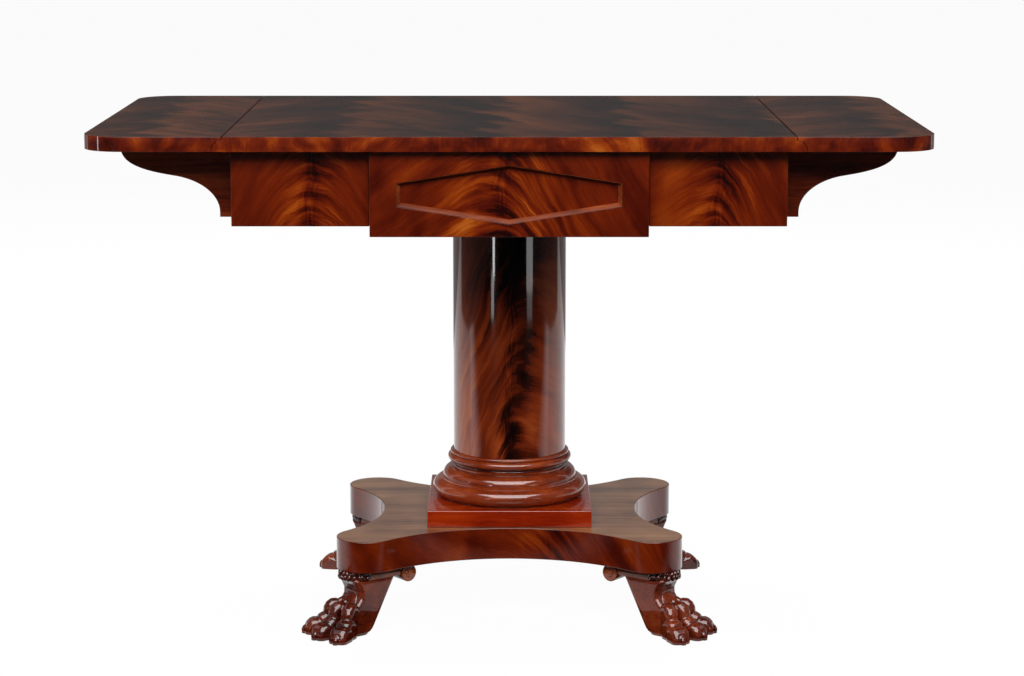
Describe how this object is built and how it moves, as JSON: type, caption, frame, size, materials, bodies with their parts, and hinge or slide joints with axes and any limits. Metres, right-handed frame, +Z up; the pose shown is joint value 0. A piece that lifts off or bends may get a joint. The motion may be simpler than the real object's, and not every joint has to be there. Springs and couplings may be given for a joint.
{
  "type": "sofa table",
  "caption": "Pedestal sofa table with drop leaves on swinging fly brackets, a frieze drawer, a round column, a lobed platform and carved paw feet.",
  "frame": {"origin": "centre of the table on the floor", "axes": "+X to the right along the open leaves, +Y to the back, +Z up; the drawer opens towards -Y"},
  "size_m": [1.206, 0.676, 0.76],
  "materials": {
    "flame_veneer": "flame mahogany veneer, high French polish",
    "solid_mahogany": "solid mahogany, polished",
    "secondary_wood": "plain pine and oak, unfinished",
    "hinge_steel": "dulled steel",
    "iron": "dark iron"
  },
  "bodies": {
    "frame": {"back_block": "flame_veneer", "back_block_moulding": "solid_mahogany", "back_frieze": "flame_veneer", "back_left_fly_block": "solid_mahogany", "back_left_fly_pin": "iron", "back_left_paw_foot": "solid_mahogany", "back_right_fly_block": "solid_mahogany", "back_right_fly_pin": "iron", "back_right_paw_foot": "solid_mahogany", "bearer_screws": "iron", "column_base": "solid_mahogany", "column_ring": "solid_mahogany", "column_shaft": "flame_veneer", "drawer_lower_rail": "secondary_wood", "drawer_upper_rail": "secondary_wood", "fixed_hinge_screws": "iron", "foot_pegs": "secondary_wood", "front_frieze_left": "flame_veneer", "front_frieze_right": "flame_veneer", "front_left_fly_block": "solid_mahogany", "front_left_fly_pin": "iron", "front_left_paw_foot": "solid_mahogany", "front_right_fly_block": "solid_mahogany", "front_right_fly_pin": "iron", "front_right_paw_foot": "solid_mahogany", "left_drawer_kicker": "secondary_wood", "left_drawer_runner": "secondary_wood", "left_end_rail": "secondary_wood", "left_fly_filler": "solid_mahogany", "left_hinge_fixed_plates": "hinge_steel", "left_hinge_pins": "hinge_steel", "pedestal_bearer": "secondary_wood", "platform": "flame_veneer", "plinth_block": "flame_veneer", "right_drawer_kicker": "secondary_wood", "right_drawer_runner": "secondary_wood", "right_end_rail": "secondary_wood", "right_fly_filler": "solid_mahogany", "right_hinge_fixed_plates": "hinge_steel", "right_hinge_pins": "hinge_steel", "top_panel": "flame_veneer"},
    "drawer": {"drawer_front": "flame_veneer", "drawer_front_moulding": "solid_mahogany", "drawer_left_side": "secondary_wood", "drawer_right_side": "secondary_wood", "drawer_back": "secondary_wood", "drawer_bottom": "secondary_wood"},
    "left_leaf": {"left_leaf": "flame_veneer", "left_hinge_leaf_plates": "hinge_steel", "left_leaf_hinge_screws": "iron"},
    "right_leaf": {"right_leaf": "flame_veneer", "right_hinge_leaf_plates": "hinge_steel", "right_leaf_hinge_screws": "iron"},
    "front_left_bracket": {"front_left_fly_bracket": "solid_mahogany"},
    "front_right_bracket": {"front_right_fly_bracket": "solid_mahogany"},
    "back_left_bracket": {"back_left_fly_bracket": "solid_mahogany"},
    "back_right_bracket": {"back_right_fly_bracket": "solid_mahogany"}
  },
  "joints": [
    {"name": "drawer_slide", "type": "slide", "parent": "frame", "child": "drawer", "axis": [0, -1, 0], "range_m": [0, 0.3]},
    {"name": "left_leaf_hinge", "type": "hinge", "parent": "frame", "child": "left_leaf", "pos_m": [-0.403, 0, 0.7405], "axis": [0, 1, 0], "range_deg": [0, 2]},
    {"name": "right_leaf_hinge", "type": "hinge", "parent": "frame", "child": "right_leaf", "pos_m": [0.403, 0, 0.7405], "axis": [0, -1, 0], "range_deg": [0, 2]},
    {"name": "front_left_bracket_swing", "type": "hinge", "parent": "frame", "child": "front_left_bracket", "pos_m": [-0.382, -0.238, 0.687], "axis": [0, 0, -1], "range_deg": [0, 90]},
    {"name": "front_right_bracket_swing", "type": "hinge", "parent": "frame", "child": "front_right_bracket", "pos_m": [0.382, -0.238, 0.687], "axis": [0, 0, 1], "range_deg": [0, 90]},
    {"name": "back_left_bracket_swing", "type": "hinge", "parent": "frame", "child": "back_left_bracket", "pos_m": [-0.382, 0.238, 0.687], "axis": [0, 0, 1], "range_deg": [0, 90]},
    {"name": "back_right_bracket_swing", "type": "hinge", "parent": "frame", "child": "back_right_bracket", "pos_m": [0.382, 0.238, 0.687], "axis": [0, 0, -1], "range_deg": [0, 90]}
  ]
}
